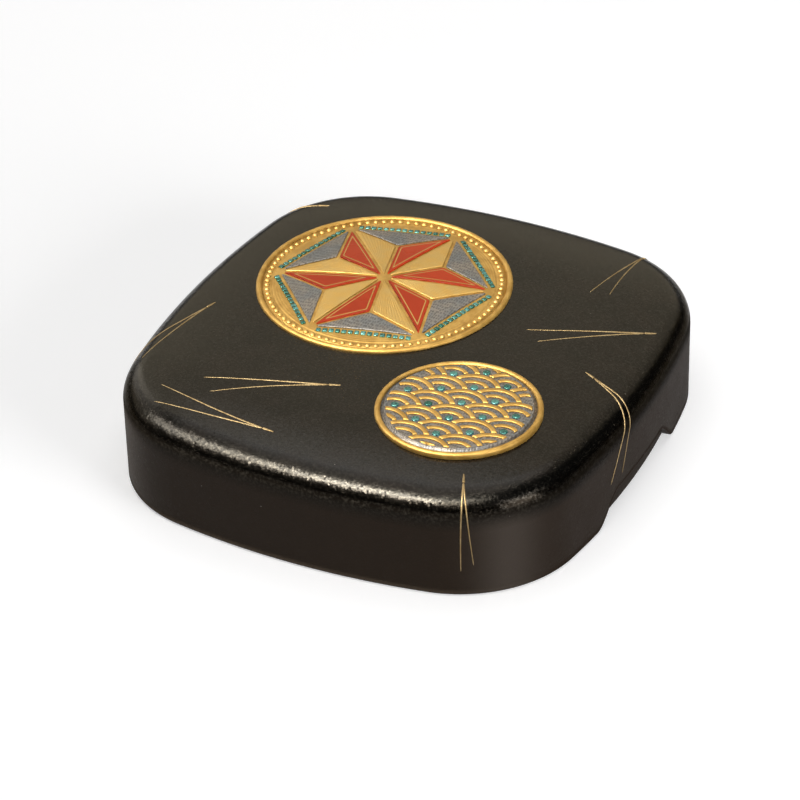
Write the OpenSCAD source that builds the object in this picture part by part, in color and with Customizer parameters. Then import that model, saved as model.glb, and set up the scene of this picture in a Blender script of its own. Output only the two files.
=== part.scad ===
// Lacquered incense box: a shallow tray under a full-depth lift-off lid.
// The plan is a square with swelling sides and round corners, the lid has a soft shoulder and a low crown,
// and two inlaid roundels are let into its top. Millimetres, +Z up, front face towards -Y,
// origin at the middle of the foot, on the table.

/* [Lid] */
// Width of the lid across the left and right faces
lid_w = 77; // [73:0.5:84]
// Depth of the lid across the front and back faces
lid_d = 80; // [76:0.5:88]
// Height from the table to the flat of the lid's top
lid_h = 18.4; // [17:0.1:24]
// Radius of the swelling front and back faces
front_r = 121.27; // [110:0.01:150]
// Radius of the swelling left and right faces
side_r = 139.42; // [125:0.01:170]
// Radius of the four upright corners
corner_r = 19.6; // [18.6:0.1:21]
// Radius of the shoulder between wall and top
shoulder_r = 4.2; // [3.6:0.1:4.8]
// Width of the crowned margin, from the wall's face to the flat of the top
crown_w = 17.2; // [15:0.1:18]
// Radius of the crowned margin in section
crown_r = 89.2; // [75:0.1:120]
// Thickness of the top board at its middle
top_t = 3.2; // [2.8:0.1:3.8]
// Thickness of the lid's wall
lid_wall_t = 1.4; // [1.2:0.1:2]
// Gap between the lid's rim and the table
rim_gap = 0.2; // [0.1:0.1:1]

/* [Finger notches] */
// Length of a notch along the lid's rim
notch_foot = 29.5; // [24:0.5:34]
// Length of a notch at its top
notch_top = 16; // [10:0.5:20]
// Height of a notch above the lid's rim
notch_h = 4.4; // [3:0.1:6]

/* [Tray] */
// Gap between the lid's wall and the tray's wall
fit_gap = 0.25; // [0.15:0.05:0.5]
// Thickness of the tray's wall
tray_wall_t = 1.6; // [1.4:0.1:2.4]
// Thickness of the tray's floor board
floor_t = 1.8; // [1.2:0.1:2.6]
// Depth of the step in the wall that the floor board is let into
floor_step = 0.7; // [0.4:0.1:1]
// Height of the wall's foot below the floor board
foot_h = 0.8; // [0.4:0.1:1.4]

/* [Roundels] */
// Radius of the large roundel
star_r = 20; // [18:0.5:21]
// Distance of the large roundel's middle from the lid's left face
star_from_left = 29.5; // [28.5:0.5:31.5]
// Distance of the large roundel's middle from the lid's back face
star_from_back = 30.5; // [29.5:0.5:32]
// Turn of the star in the large roundel
star_turn = 14; // [0:1:59]
// Radius of the small roundel
wave_r = 12.5; // [11:0.5:13.5]
// Distance of the small roundel's middle from the lid's right face
wave_from_right = 22; // [21:0.5:23]
// Distance of the small roundel's middle from the lid's front face
wave_from_front = 22.5; // [21.5:0.5:23.5]
// Depth of the seats that the roundels are let into
seat_depth = 0.6; // [0.5:0.05:0.9]
// Width of a roundel's half-round rim
rim_w = 0.9; // [0.7:0.1:1.2]
// Height of a rim's straight side above the flat of the top
rim_rise = 0.1; // [0.05:0.05:0.4]
// Height of the flat border inside the rim, above the flat of the top
land_rise = 0.15; // [0.1:0.05:0.4]
// Width of the large roundel's flat border
star_border_w = 1.6; // [1.4:0.1:2]
// Width of the small roundel's flat border
wave_border_w = 0.5; // [0.4:0.1:0.8]
// Step up from the flat border to the large roundel's field
field_step = 0.1; // [0.05:0.05:0.2]
// Radius of the large roundel's domed field
dome_r = 180; // [140:5:200]
// Step up from the flat border to the small roundel's field
wave_step = 0.4; // [0.2:0.05:0.6]

/* [Inlay] */
// Height of the inlaid panels, bands and shell above the field
inlay_t = 0.22; // [0.15:0.01:0.35]
// Width of the gold line left between panels
line_w = 0.5; // [0.3:0.05:0.8]
// Radius of a gold bead
bead_r = 0.42; // [0.3:0.02:0.6]
// Spacing of the beads round the border
bead_pitch = 1.3; // [1.25:0.05:2]
// Side of a square shell tessera
tessera = 0.75; // [0.5:0.05:0.8]
// Spacing of the tesserae along a row
tessera_pitch = 1; // [0.95:0.05:1.4]
// Radius of a wave scale
scale_r = 4.4; // [3.8:0.1:5]
// Width of the outer band of a scale
outer_band_w = 0.75; // [0.5:0.05:0.9]
// Outer radius of the inner band of a scale
inner_band_r = 2.73; // [2.4:0.01:2.8]
// Width of the inner band of a scale
inner_band_w = 0.65; // [0.5:0.05:0.8]
// Gap between a scale's bands and the scales in front of it
band_gap = 0.25; // [0.2:0.05:0.4]
// Radius of a shell dot at the heart of a scale
dot_r = 0.62; // [0.4:0.02:0.7]
// Distance of a shell dot's middle above its scale's centre
dot_lift = 0.93; // [0.9:0.01:1.1]

/* [Hidden] */
$fn = 96;
dome_fn = 360;
notch_steps = 12;

black = "#1d1814";
dark_brown = "#2b211b";
gold = "#c59b52";
pale_gold = "#d8b772";
vermilion = "#b5401f";
grey_metal = "#7c7e80";
shell = "#2f8a80";

// Heights
// How far a cut runs past the face that it cuts
cut_room = 3;
ceiling_z = lid_h - top_t;
seat_z = lid_h - seat_depth;
land_z = lid_h + land_rise;
floor_top = foot_h + floor_t;
// Centre of the shoulder's arc, which touches the crown's arc from inside, kept to a thousandth
shoulder_z = round3(lid_h - crown_r + sqrt(pow(crown_r - shoulder_r, 2) - pow(crown_w - shoulder_r, 2)));
// Inset of the point where the two arcs touch
touch_inset = shoulder_r * (crown_r - crown_w) / (crown_r - shoulder_r);

// Insets of the walls' faces from the lid's outer face
lid_inner = lid_wall_t;
tray_outer = lid_inner + fit_gap;
tray_inner = tray_outer + tray_wall_t;
floor_edge = tray_inner - floor_step;

// Centres of the back and right faces' arcs, and of the corner's arc, which touches both from inside
back_centre = [0, lid_d / 2 - front_r];
right_centre = [lid_w / 2 - side_r, 0];
corner = circles_meet(back_centre, front_r - corner_r, right_centre, side_r - corner_r);
corner_coarse = [round(corner.x * 10) / 10, round(corner.y * 10) / 10];
right_ray = atan2(corner.y - right_centre.y, corner.x - right_centre.x);
back_ray = atan2(corner.y - back_centre.y, corner.x - back_centre.x);
// How far a plan sector reaches outwards, and how far a face's sector runs in behind its corners' centres
reach = lid_w;
lap = corner_r / 2;
side_depth = corner_r + 2 * lap;
// Half sides of the flat middle of the top board, which laps under the crowned margin
core_half = corner + (corner_r - crown_w) / 2 * [1, 1];

// Roundels
star_place = [star_from_left - lid_w / 2, lid_d / 2 - star_from_back];
wave_place = [lid_w / 2 - wave_from_right, wave_from_front - lid_d / 2];
star_field_r = star_r - rim_w - star_border_w;
wave_field_r = wave_r - rim_w - wave_border_w;
wave_field_z = land_z + wave_step;
// Height of the centre of the large roundel's dome, kept to a thousandth
dome_centre = round3(land_z + field_step - sqrt(dome_r * dome_r - star_field_r * star_field_r));
hex_r = star_field_r - line_w;
hex_apothem = hex_r * cos(30);
row_offset = line_w / 2 + tessera / 2;
row_count = floor((hex_r - 2 * tessera) / tessera_pitch);
bead_circle = star_field_r + star_border_w / 2;
bead_count = floor(360 / (2 * asin(bead_pitch / 2 / bead_circle)));
scale_rows = ceil(2 * wave_field_r / scale_r) + 1;
scale_columns = ceil(wave_field_r / scale_r / 2) + 1;
// Middle of a scale's visible fan above its centre, and how far past the field's edge that may lie
fan_lift = 0.6 * scale_r;
fan_reach = 0.35 * scale_r;

function round3(v) = round(v * 1000) / 1000;

// Point where two circles meet, on the right of the line from the first centre to the second seen from above
function circles_meet(p, p_r, q, q_r) =
    let (span = norm(q - p), along = (p_r * p_r - q_r * q_r + span * span) / (2 * span),
         across = sqrt(p_r * p_r - along * along), dir = (q - p) / span)
    p + along * dir + across * [dir.y, -dir.x];

// A triangle drawn in by a distance on every side
function inset_triangle(t, by) =
    let (a = norm(t[1] - t[2]), b = norm(t[2] - t[0]), c = norm(t[0] - t[1]), s = (a + b + c) / 2,
         middle = (a * t[0] + b * t[1] + c * t[2]) / (a + b + c),
         inner_r = sqrt((s - a) * (s - b) * (s - c) / s))
    [for (v = t) middle + (v - middle) * (1 - by / inner_r)];

function polar(r, angle) = r * [cos(angle), sin(angle)];

// Plan of the box

module four_ways() {
    for (sx = [0, 1], sy = [0, 1])
        mirror([sx, 0, 0]) mirror([0, sy, 0]) children();
}

module at_corner() {
    translate(corner_coarse) translate(corner - corner_coarse) children();
}

// Plan sector of the back right corner, between the rays to its two ends
module corner_sector() {
    at_corner() intersection() {
        rotate(right_ray) square([reach, reach]);
        rotate(back_ray) translate([0, -reach]) square([reach, reach]);
    }
}

// Plan sector of the right face, between the corners' rays
module right_sector() {
    intersection_for (s = [0, 1])
        mirror([0, s, 0]) at_corner() rotate(right_ray) translate([-lap, -reach]) square([reach + lap, reach]);
}

// Plan sector of the back face, between the corners' rays
module back_sector() {
    intersection_for (s = [0, 1])
        mirror([s, 0, 0]) at_corner() rotate(back_ray) translate([-lap, 0]) square([reach + lap, reach]);
}

// Outline of the lid drawn in by an inset: where the four faces' discs overlap, with the corners cut round
module outline(inset) {
    difference() {
        intersection_for (s = [0, 1]) {
            intersection() {
                mirror([s, 0, 0]) translate(right_centre) circle(side_r - inset);
                mirror([0, s, 0]) translate(back_centre) circle(front_r - inset);
            }
        }
        four_ways() difference() {
            corner_sector();
            at_corner() circle(corner_r - inset);
        }
    }
}

// Section through the lid's wall, shoulder and crown, with the wall's face at radius face_r
module lid_section(face_r, depth, low, high) {
    intersection() {
        translate([face_r, 0]) mirror([1, 0]) {
            square([depth, shoulder_z]);
            translate([shoulder_r, shoulder_z]) intersection() {
                circle(shoulder_r);
                translate([-shoulder_r, 0]) square(shoulder_r);
            }
            intersection() {
                translate([crown_w, lid_h - crown_r]) circle(crown_r);
                translate([touch_inset, shoulder_z]) square([crown_w - touch_inset, lid_h - shoulder_z]);
            }
            if (depth > crown_w)
                translate([crown_w, shoulder_z]) square([depth - crown_w, lid_h - shoulder_z]);
        }
        translate([face_r - depth, low]) square([depth, high - low]);
    }
}

// A round corner of the lid, solid, between two heights
module lid_corner(low, high) {
    at_corner() rotate_extrude() lid_section(corner_r, corner_r, low, high);
}

// The lid's four faces, solid, between two heights, each up to the rays of its corners
module lid_faces(low, high) {
    for (s = [0, 1]) {
        mirror([s, 0, 0]) intersection() {
            translate(right_centre) rotate_extrude() lid_section(side_r, side_depth, low, high);
            linear_extrude(high) right_sector();
        }
        mirror([0, s, 0]) intersection() {
            translate(back_centre) rotate_extrude() lid_section(front_r, side_depth, low, high);
            linear_extrude(high) back_sector();
        }
    }
}

// Tray

module tray_wall() {
    color(dark_brown) difference() {
        linear_extrude(ceiling_z) outline(tray_outer);
        linear_extrude(ceiling_z + cut_room) outline(tray_inner);
        translate([0, 0, -cut_room]) linear_extrude(floor_top + cut_room) outline(floor_edge);
    }
}

module tray_floor() {
    color(dark_brown) translate([0, 0, foot_h]) linear_extrude(floor_t) outline(floor_edge);
}

// Lid

module seat(place, r) {
    translate([place.x, place.y, seat_z]) cylinder(h = cut_room, r = r);
}

module lid_top() {
    color(black) difference() {
        union() {
            lid_faces(ceiling_z, lid_h);
            four_ways() intersection() {
                lid_corner(ceiling_z, lid_h);
                linear_extrude(lid_h) corner_sector();
            }
            translate([0, 0, ceiling_z]) linear_extrude(top_t) square(2 * core_half, center = true);
        }
        seat(star_place, star_r);
        seat(wave_place, wave_r);
    }
}

// Elevation of a finger notch, with ends that swing from the rim up to the top in an S
module notch_face() {
    run = (notch_foot - notch_top) / 2;
    swing = [for (i = [0:notch_steps]) let (t = i / notch_steps)
        [notch_top / 2 + run * t, notch_h * (1 + cos(180 * t)) / 2]];
    polygon(concat(
        swing,
        [[notch_foot / 2, -cut_room], [-notch_foot / 2, -cut_room]],
        [for (i = [notch_steps:-1:0]) [-swing[i].x, swing[i].y]]
    ));
}

module lid_wall() {
    color(black) difference() {
        union() {
            lid_faces(rim_gap, ceiling_z);
            four_ways() lid_corner(rim_gap, ceiling_z);
        }
        linear_extrude(ceiling_z + cut_room) outline(lid_inner);
        translate([-lid_w, 0, rim_gap]) rotate([90, 0, 90]) linear_extrude(2 * lid_w) notch_face();
    }
}

// Roundels

module at_star() {
    translate(star_place) children();
}

module at_wave() {
    translate(wave_place) children();
}

// Half-round rim of a roundel, standing in its seat
module roundel_rim(r) {
    rim_top = lid_h + rim_rise;
    rotate_extrude() {
        translate([r - rim_w, seat_z]) square([rim_w, rim_top - seat_z]);
        translate([r - rim_w / 2, rim_top]) intersection() {
            circle(rim_w / 2);
            translate([-rim_w / 2, 0]) square([rim_w, rim_w / 2]);
        }
    }
}

// Flat border of a roundel, from its seat up, inside the rim
module roundel_border(r) {
    translate([0, seat_z]) square([r - rim_w, land_z - seat_z]);
}

// Section of the large roundel's domed field, out to a given height above the dome
module dome_section(above) {
    intersection() {
        translate([0, dome_centre]) circle(dome_r + above, $fn = dome_fn);
        translate([0, seat_z]) square([star_field_r, cut_room]);
    }
}

// Flat shapes laid on the domed field as inlay
module inlaid_on_dome() {
    intersection() {
        translate([0, 0, seat_z]) linear_extrude(cut_room) children();
        rotate_extrude() difference() {
            dome_section(inlay_t);
            dome_section(0);
        }
    }
}

// Flat shapes laid on the small roundel's flat field as inlay
module inlaid_on_flat() {
    translate([0, 0, wave_field_z]) linear_extrude(inlay_t) children();
}

module star_rim() {
    color(gold) at_star() roundel_rim(star_r);
}

module star_ground() {
    color(gold) at_star() rotate_extrude() {
        roundel_border(star_r);
        dome_section(0);
    }
}

// One triangle of each sixth of the hemp-leaf star: corners are given as points of the sixth
module star_panels(pick) {
    for (k = [0:5]) {
        tip = polar(hex_r, 60 * k);
        next_tip = polar(hex_r, 60 * (k + 1));
        heart = (tip + next_tip) / 3;
        points = [[0, 0], tip, next_tip, heart];
        polygon(inset_triangle([for (i = pick) points[i]], line_w / 2));
    }
}

module star_vermilion_leaves() {
    color(vermilion) at_star() rotate(star_turn) inlaid_on_dome() star_panels([0, 1, 3]);
}

module star_gold_leaves() {
    color(pale_gold) at_star() rotate(star_turn) inlaid_on_dome() star_panels([0, 3, 2]);
}

module star_grey_panels() {
    color(grey_metal) at_star() rotate(star_turn) inlaid_on_dome() star_panels([1, 2, 3]);
}

// Rows of shell squares along the six sides of the star's hexagon
module star_shell_rows() {
    color(shell) at_star() rotate(star_turn) inlaid_on_dome()
        for (k = [0:5], i = [0:row_count - 1])
            rotate(60 * k + 30)
                translate([hex_apothem + row_offset, (i - (row_count - 1) / 2) * tessera_pitch])
                    square(tessera, center = true);
}

module bead() {
    rotate_extrude() intersection() {
        circle(bead_r);
        square(bead_r);
    }
}

module star_bead_ring() {
    color(pale_gold) at_star() rotate(star_turn)
        for (i = [0:bead_count - 1])
            rotate(360 * i / bead_count) translate([bead_circle, 0, land_z]) bead();
}

module wave_rim() {
    color(gold) at_wave() roundel_rim(wave_r);
}

module wave_ground() {
    color(grey_metal) at_wave() rotate_extrude() {
        roundel_border(wave_r);
        translate([0, seat_z]) square([wave_field_r, wave_field_z - seat_z]);
    }
}

// Centres of the wave scales whose fans reach well into the field
function scale_centres() = [
    for (j = [-scale_rows:scale_rows], i = [-scale_columns:scale_columns])
        let (c = scale_r * [2 * i + abs(j % 2), j / 2], fan_middle = c + [0, fan_lift])
        if (norm(fan_middle) < wave_field_r + fan_reach) c
];

// The part of a shape round a scale's centre that the scales in front leave in view
module scale_in_view(c) {
    intersection() {
        difference() {
            translate(c) children();
            for (front = [[-1, -0.5], [1, -0.5], [0, -1]])
                translate(c + scale_r * front) circle(scale_r + band_gap);
        }
        circle(wave_field_r - band_gap);
    }
}

module ring_band(outer, width) {
    difference() {
        circle(outer);
        circle(outer - width);
    }
}

module wave_bands() {
    color(gold) at_wave() inlaid_on_flat()
        for (c = scale_centres()) {
            scale_in_view(c) ring_band(scale_r, outer_band_w);
            scale_in_view(c) ring_band(inner_band_r, inner_band_w);
        }
}

module wave_shell_dots() {
    color(shell) at_wave() inlaid_on_flat()
        for (c = scale_centres())
            if (norm(c + [0, dot_lift]) < wave_field_r - band_gap - dot_r)
                translate(c + [0, dot_lift]) circle(dot_r);
}

tray_wall();
tray_floor();
lid_top();
lid_wall();
star_rim();
star_ground();
star_vermilion_leaves();
star_gold_leaves();
star_grey_panels();
star_shell_rows();
star_bead_ring();
wave_rim();
wave_ground();
wave_bands();
wave_shell_dots();
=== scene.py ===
# %% [markdown]
# # A lacquer incense box
# The box is a shallow tray under a lid that covers it down to the foot. Its plan is a square with
# swelling sides. The lid is black lacquer with a soft shoulder, two raised roundels of inlay and
# scattered pine needles in gold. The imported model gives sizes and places, and this lesson dresses it:
# numpy works out every surface as a grid of points, and every finish is a tree of shader nodes.

# %% Load the frame
from math import asin, atan2, ceil, cos, pi, radians, sin, sqrt

import bpy
import numpy as np
from mathutils import Matrix, Vector


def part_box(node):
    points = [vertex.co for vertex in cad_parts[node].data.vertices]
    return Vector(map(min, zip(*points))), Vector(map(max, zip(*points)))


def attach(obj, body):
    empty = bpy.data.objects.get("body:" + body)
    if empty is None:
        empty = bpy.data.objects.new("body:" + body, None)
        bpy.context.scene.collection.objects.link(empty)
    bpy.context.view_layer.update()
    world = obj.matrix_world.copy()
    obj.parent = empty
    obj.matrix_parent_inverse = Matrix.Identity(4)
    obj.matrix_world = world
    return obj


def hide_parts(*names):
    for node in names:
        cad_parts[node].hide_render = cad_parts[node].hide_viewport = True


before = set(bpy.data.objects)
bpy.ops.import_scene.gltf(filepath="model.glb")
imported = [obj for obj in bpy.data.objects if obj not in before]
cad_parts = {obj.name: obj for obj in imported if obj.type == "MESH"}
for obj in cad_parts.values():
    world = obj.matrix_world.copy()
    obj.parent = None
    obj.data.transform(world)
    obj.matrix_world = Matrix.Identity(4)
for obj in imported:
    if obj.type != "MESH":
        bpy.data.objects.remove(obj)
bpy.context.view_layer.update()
scene = bpy.context.scene
MM = 0.001
print("pieces in the frame:", len(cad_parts))

# %% [markdown]
# ## Sizes
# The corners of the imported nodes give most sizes, in millimetres. What a box of corners can't tell, such
# as the radius of a face, is written here once, as in the part's own source.

# %% Sizes from the frame
def corners(node):
    """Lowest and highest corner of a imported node, in millimetres."""
    return [np.round(np.array(corner) / MM, 2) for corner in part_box(node)]


wall_low, wall_high = corners("lid_wall")
top_low, top_high = corners("lid_top")
_, tray_high = corners("tray_wall")
board_low, board_high = corners("tray_floor")
half_w, half_d = wall_high[0], wall_high[1]
rim_z, ceiling_z, lid_z = wall_low[2], top_low[2], top_high[2]
floor_z, tray_z = board_high[2], tray_high[2]
front_r = 121.27
side_r = 139.42
corner_r = 19.6
shoulder_r = 4.2
crown_w = 17.2
crown_r = 89.2
lid_wall_t = 1.4
tray_wall_t = 1.6
notch_foot = 29.5
notch_top = 16.0
notch_h = 4.4
print("lid, mm:", 2 * half_w, "x", 2 * half_d, "x", lid_z)

# %% [markdown]
# ## Plan and section
# The plan is eight arcs that touch: four long ones for the faces and four short ones for the corners. A
# point of the outline is found from the direction that it faces, because then each arc is one centre and
# one radius. All quarters are alike, so a direction is folded into the first one and its signs are put
# back afterwards. The section runs from the flat of the top over crown and shoulder and down the wall.

# %% Plan
right_x = half_w - side_r
back_y = half_d - front_r
span = sqrt(right_x**2 + back_y**2)
face_gap = front_r - corner_r
along = (face_gap**2 - (side_r - corner_r) ** 2 + span**2) / (2 * span)
across = sqrt(face_gap**2 - along**2)
corner_x = (right_x * along - back_y * across) / span
corner_y = back_y + (-back_y * along - right_x * across) / span
right_ray = atan2(corner_y, corner_x - right_x)
back_ray = atan2(corner_y - back_y, corner_x)


def arc(side, front):
    """Centre and radius, in the first quarter, of the arc of a side face, a front face or a corner."""
    choices = ((right_x, 0.0, corner_x), (0.0, back_y, corner_y), (side_r, front_r, corner_r))
    return [np.select([side, front], [first, second], third) for first, second, third in choices]


def plan(facing, inset):
    """Points of the outline drawn in by an inset: the arc's centre + (radius - inset) along the facing."""
    c, s = np.cos(facing), np.sin(facing)
    fold = np.arctan2(np.abs(s), np.abs(c))
    x, y, r = arc(fold < right_ray, fold > back_ray)
    return x * np.sign(c) + (r - inset) * c, y * np.sign(s) + (r - inset) * s


def even_facings(count):
    """Facings at even steps along the outline: each arc's length is its radius times its angle."""
    turns = np.array([0, right_ray, back_ray, pi - back_ray, pi - right_ray, pi])
    turns = np.concatenate([turns, turns[1:] + pi])
    radii = np.tile([side_r, corner_r, front_r, corner_r, side_r], 2)
    lengths = np.concatenate([[0], np.cumsum(radii * np.diff(turns))])
    return np.interp(np.linspace(0, lengths[-1], count, endpoint=False), lengths, turns)


print("corner arc centre, mm:", round(corner_x, 3), round(corner_y, 3))

# %% Section
shoulder_z = lid_z - crown_r + sqrt((crown_r - shoulder_r) ** 2 - (crown_w - shoulder_r) ** 2)
crown_turn = asin((crown_w - shoulder_r) / (crown_r - shoulder_r))
crown_run = crown_r * crown_turn
shoulder_run = shoulder_r * (pi / 2 - crown_turn)


def section(run):
    """Inset, height and tilt of the lid's skin at a run outwards from the flat: crown, then shoulder, then
    wall. Each arc adds radius x (difference of sines) sideways and radius x (difference of cosines) down."""
    crown = np.clip(run / crown_r, 0, crown_turn)
    shoulder = np.clip(crown_turn + (run - crown_run) / shoulder_r, crown_turn, pi / 2)
    drop = np.maximum(run - crown_run - shoulder_run, 0)
    inset = crown_w - crown_r * np.sin(crown) - shoulder_r * (np.sin(shoulder) - sin(crown_turn))
    fall = crown_r * (1 - np.cos(crown)) + shoulder_r * (cos(crown_turn) - np.cos(shoulder))
    return inset, lid_z - fall - drop, crown + shoulder - crown_turn


print("shoulder starts at, mm:", round(shoulder_z, 2))

# %% [markdown]
# ## From a grid to a mesh
# Every piece is a closed shell made of loops: the lid from its middle out to its rim and back inside, a
# bead from foot to top, a needle from end to end. So one helper serves them all: it joins neighbouring
# loops with quads and closes both ends with a fan to a middle point. A ring has no ends, so its last loop
# joins its first.

# %% Shells
def shells(points, ring=False):
    """Points and faces of closed shells from an array of (shell, loop, point of loop, xyz)."""
    count, loops, around, _ = points.shape
    total = loops * around
    here = np.arange(loops if ring else loops - 1)[:, None] * around
    beyond = (here + around) % total
    step = np.arange(around)
    after = (step + 1) % around
    quads = np.stack([here + step, here + after, beyond + after, beyond + step], -1).reshape(-1, 4)
    verts = points.reshape(count, -1, 3)
    fans = np.zeros((0, 3), int)
    if not ring:
        verts = np.concatenate([verts, points[:, [0, -1]].mean(axis=2)], axis=1)
        tail = total - around
        fans = np.concatenate([
            np.stack([np.full(around, total), after, step], -1),
            np.stack([np.full(around, total + 1), tail + step, tail + after], -1),
        ])
    offsets = np.arange(count)[:, None, None] * verts.shape[1]
    return verts.reshape(-1, 3), (quads + offsets).reshape(-1, 4), (fans + offsets).reshape(-1, 3)


def outwards(points, quads, fans):
    """Turns all faces over if the enclosed volume, a sixth of the sum of triple products, is negative."""
    tris = np.concatenate([quads[:, [0, 1, 2]], quads[:, [0, 2, 3]], fans])
    a, b, c = (points[tris[:, k]] for k in range(3))
    turned = np.einsum("ij,ij->i", a, np.cross(b, c)).sum() < 0
    return (quads[:, ::-1], fans[:, ::-1]) if turned else (quads, fans)


def new_object(name, data):
    """A new object in the scene that holds this data."""
    item = bpy.data.objects.new(name, data)
    scene.collection.objects.link(item)
    return item


def piece(name, points, material, body, slot, nodes=(), ring=False, **marks):
    """A mesh object of closed shells. Marks are values for each point, stored as attributes of that name."""
    verts, quads, fans = shells(points, ring)
    quads, fans = outwards(verts, quads, fans)
    mesh = bpy.data.meshes.new(name)
    mesh.from_pydata((verts * MM).tolist(), [], quads.tolist() + fans.tolist())
    for mark, values in marks.items():
        block = np.broadcast_to(values, points.shape[:3])
        rows = block.reshape(len(block), -1)
        if not ring:
            rows = np.concatenate([rows, block[:, [0, -1]].mean(axis=2)], axis=1)
        layer = mesh.attributes.new(mark, "FLOAT", "POINT")
        layer.data.foreach_set("value", rows.astype(np.float32).ravel())
    mesh.shade_smooth()
    mesh.materials.append(material)
    item = new_object(name, mesh)
    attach(item, body)
    if nodes:
        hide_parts(*nodes)
    print(name, "has", len(quads) * 2 + len(fans), "triangles")


# %% [markdown]
# ## Camera
# The photograph was taken with a long lens from the front right, a third of a right angle up. A camera
# can be set by eye, but a fit of the box's outline to the photograph, which gave these values, is closer.
# Distances are in millimetres.

# %% Camera
photo_azimuth = radians(26.546)
photo_elevation = radians(33.472)
photo_roll = radians(-1.457)
photo_distance = 549.1
photo_lens = 160.13
sensor = 36.0
nearest_seen = 0.01
target = Vector((0, 0, 7.7))
aim_shift = (-1.79, -2.31)

right = Vector((cos(photo_azimuth), sin(photo_azimuth), 0))
level_back = Vector((sin(photo_azimuth), -cos(photo_azimuth), 0))
back = level_back * cos(photo_elevation) + Vector((0, 0, sin(photo_elevation)))
upward = back.cross(right)
spot = target + back * photo_distance
aim = target + right * aim_shift[0] + upward * aim_shift[1]
turn = (spot - aim).to_track_quat("Z", "Y").to_matrix() @ Matrix.Rotation(photo_roll, 3, "Z")
lens = bpy.data.cameras.new("camera")
lens.lens = photo_lens
lens.sensor_width = sensor
lens.clip_start = nearest_seen
camera = new_object("camera", lens)
camera.matrix_world = Matrix.Translation(spot * MM) @ turn.to_4x4()
scene.camera = camera
print("camera at, mm:", [round(v, 1) for v in spot])

# %% [markdown]
# ## Nodes without clutter
# A shader tree is easier to read as nested calls than as a list of nodes and links. Each helper below
# adds one node and fills its inputs: a socket is linked, and a number or colour is set. A socket knows
# its tree, so most calls needn't name it.

# %% Node helpers
def fill(socket, value):
    """Links an input to a socket, or sets it to a number or to a colour, which gets its alpha here."""
    if isinstance(value, bpy.types.NodeSocket):
        socket.id_data.links.new(value, socket)
    else:
        socket.default_value = (*value, 1.0) if socket.type == "RGBA" else value


def tree_of(*values):
    """The shader tree of the first socket among these values."""
    return next(value.id_data for value in values if isinstance(value, bpy.types.NodeSocket))


def add(tree, kind, settings=None, out=0, **inputs):
    """Adds a node, sets its own settings, fills each named input, and gives back one output."""
    node = tree.nodes.new("ShaderNode" + kind)
    for key, value in (settings or {}).items():
        setattr(node, key, value)
    for key, value in inputs.items():
        fill(node.inputs[key.replace("_", " ")], value)
    return node.outputs[out]


def calc(operation, *values, kind="Math", out=0):
    """One sum on numbers or sockets, or with the kind VectorMath on vectors; its output 1 is a number."""
    node = tree_of(*values).nodes.new("ShaderNode" + kind)
    node.operation = operation
    for socket, value in zip(node.inputs, values):
        fill(socket, value)
    return node.outputs[out]


def times(first, second):
    """The product of two numbers or sockets."""
    return calc("MULTIPLY", first, second)


def between(value, low, high, start=0.0, end=1.0):
    """A soft step: start where the value is below low, end where it is above high."""
    return add(
        tree_of(value), "MapRange", {"interpolation_type": "SMOOTHSTEP"},
        Value=value, From_Min=low, From_Max=high, To_Min=start, To_Max=end,
    )


def layers(ground, *coats):
    """A colour under coats, each given as (share, colour). A Mix node's colour inputs are 6 and 7."""
    for share, coat in coats:
        node = tree_of(share).nodes.new("ShaderNodeMix")
        node.data_type = "RGBA"
        for number, value in {0: share, 6: ground, 7: coat}.items():
            fill(node.inputs[number], value)
        ground = node.outputs[2]
    return ground


def mark(tree, name):
    """The value that a piece carries on its points under this name."""
    return add(tree, "Attribute", {"attribute_name": name}, out="Fac")


def finish(name, build):
    """A material with a Principled shader, whose named inputs are what build(tree) gives back."""
    material = bpy.data.materials.new(name)
    material.use_nodes = True
    tree = material.node_tree
    shader = tree.nodes["Principled BSDF"]
    for key, value in build(tree).items():
        fill(shader.inputs[key], value)
    return material


print("node helpers ready")

# %% [markdown]
# ## Effects that several finishes share
# Lacquer, gold and grey metal all have a grain at some scale and carry specks: dust, flakes, worn spots
# or pits. Lacquer also has small tilted facets, and grey metal has rows of chased strokes. Image textures
# could do this, but need files and an unwrapped mesh. So each effect is a node group on Object
# coordinates, with its size in millimetres, and keeps its scale on every piece.

# %% Shared effects
patch_size = 11.0
patch_edges = (0.35, 0.65)
speck_core = 0.5
stroke_stretch = (1.0, 0.5, 1.0)
stroke_scatter = 0.45
stroke_core = 0.2
stroke_edge = 0.45


def effect(name, outputs, build, **inputs):
    """A node group with float inputs and outputs, filled by build(tree, inputs), which gives the outputs.
    What comes back is a function that places the group in a finish with its own values."""
    group = bpy.data.node_groups.new(name, "ShaderNodeTree")
    for label, value in inputs.items():
        socket = group.interface.new_socket(name=label, in_out="INPUT", socket_type="NodeSocketFloat")
        socket.default_value = value
    for label in outputs:
        group.interface.new_socket(name=label, in_out="OUTPUT", socket_type="NodeSocketFloat")
    entry = group.nodes.new("NodeGroupInput")
    result = group.nodes.new("NodeGroupOutput")
    for socket, value in zip(result.inputs, build(group, entry.outputs)):
        fill(socket, value)

    def place(tree, **values):
        node = tree.nodes.new("ShaderNodeGroup")
        node.node_tree = group
        for key, value in values.items():
            fill(node.inputs[key], value)
        return list(node.outputs)
    return place


def coordinates(tree, size):
    """Object coordinates divided by a size in millimetres."""
    scale = calc("DIVIDE", 1 / MM, size)
    spot = add(tree, "TexCoord", out="Object")
    return add(tree, "VectorMath", {"operation": "SCALE"}, Vector=spot, Scale=scale)


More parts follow.
